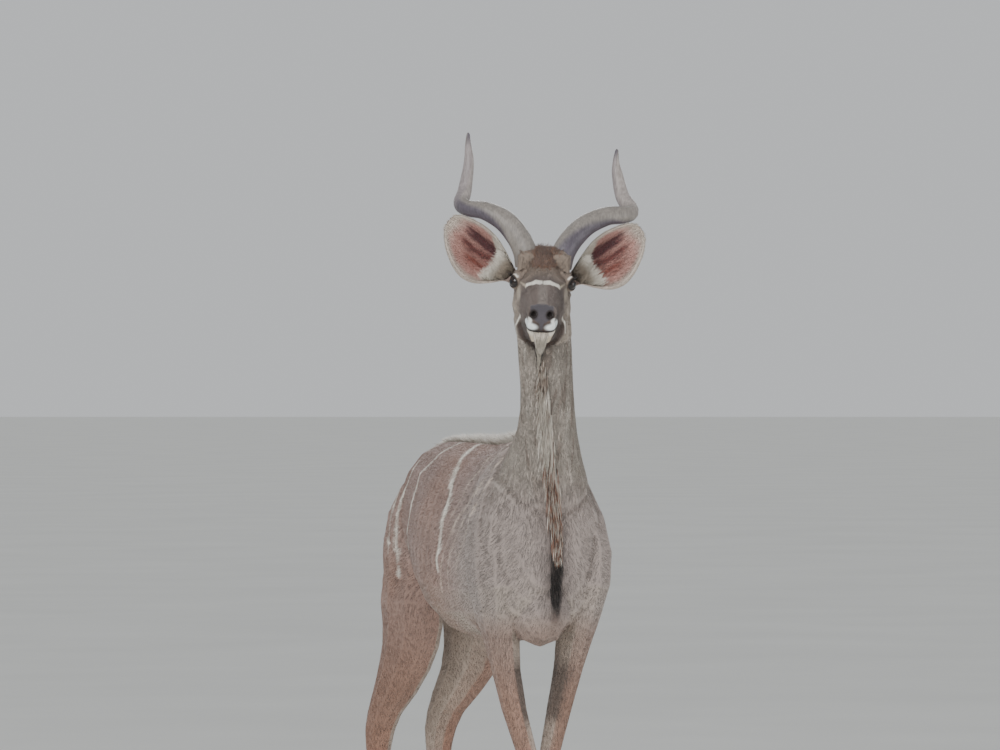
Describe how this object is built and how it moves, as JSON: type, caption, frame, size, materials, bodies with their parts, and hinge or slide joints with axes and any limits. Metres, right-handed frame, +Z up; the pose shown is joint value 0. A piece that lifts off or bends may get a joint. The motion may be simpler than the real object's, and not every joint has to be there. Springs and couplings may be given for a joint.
{
  "type": "greater kudu",
  "caption": "Life-size young greater kudu bull standing alert, with short spiral horns, broad cupped ears, a throat fringe and thin white flank stripes.",
  "frame": {"origin": "centre of the base of the bounding box, on the floor under the belly", "axes": "+Z up, -Y towards the breast and nose, +X towards the animal's left side"},
  "size_m": [0.4596, 1.629, 1.9734],
  "materials": {
    "flank_coat": "short dull hair",
    "neck_coat": "short dull hair",
    "leg_coat": "short dull hair",
    "face_coat": "short dull hair",
    "ear_skin": "thin haired skin",
    "pale_hair": "long soft hair",
    "dark_hair": "long soft hair",
    "horn": "worn satin, faintly ringed",
    "hoof": "worn satin",
    "eye": "wet gloss"
  },
  "bodies": {
    "root": {"horn_right": "horn", "ear_right": "ear_skin", "eye_right": "eye", "horn_left": "horn", "ear_left": "ear_skin", "eye_left": "eye", "hoof_fore_right_inner": "hoof", "dewclaw_fore_right_inner": "hoof", "hoof_fore_right_outer": "hoof", "dewclaw_fore_right_outer": "hoof", "hoof_fore_left_inner": "hoof", "dewclaw_fore_left_inner": "hoof", "hoof_fore_left_outer": "hoof", "dewclaw_fore_left_outer": "hoof", "hoof_hind_right_inner": "hoof", "dewclaw_hind_right_inner": "hoof", "hoof_hind_right_outer": "hoof", "dewclaw_hind_right_outer": "hoof", "hoof_hind_left_inner": "hoof", "dewclaw_hind_left_inner": "hoof", "hoof_hind_left_outer": "hoof", "dewclaw_hind_left_outer": "hoof", "head": "face_coat", "neck": "neck_coat", "chest": "flank_coat", "barrel": "flank_coat", "rump": "flank_coat", "foreleg_right": "leg_coat", "foreleg_left": "leg_coat", "forefoot_right": "leg_coat", "forefoot_left": "leg_coat", "hindleg_right": "leg_coat", "hindleg_left": "leg_coat", "hindfoot_right": "leg_coat", "hindfoot_left": "leg_coat", "tail": "leg_coat", "tail_tuft": "dark_hair", "throat_fringe": "pale_hair", "back_crest": "pale_hair", "nape_mane": "dark_hair"}
  },
  "joints": []
}
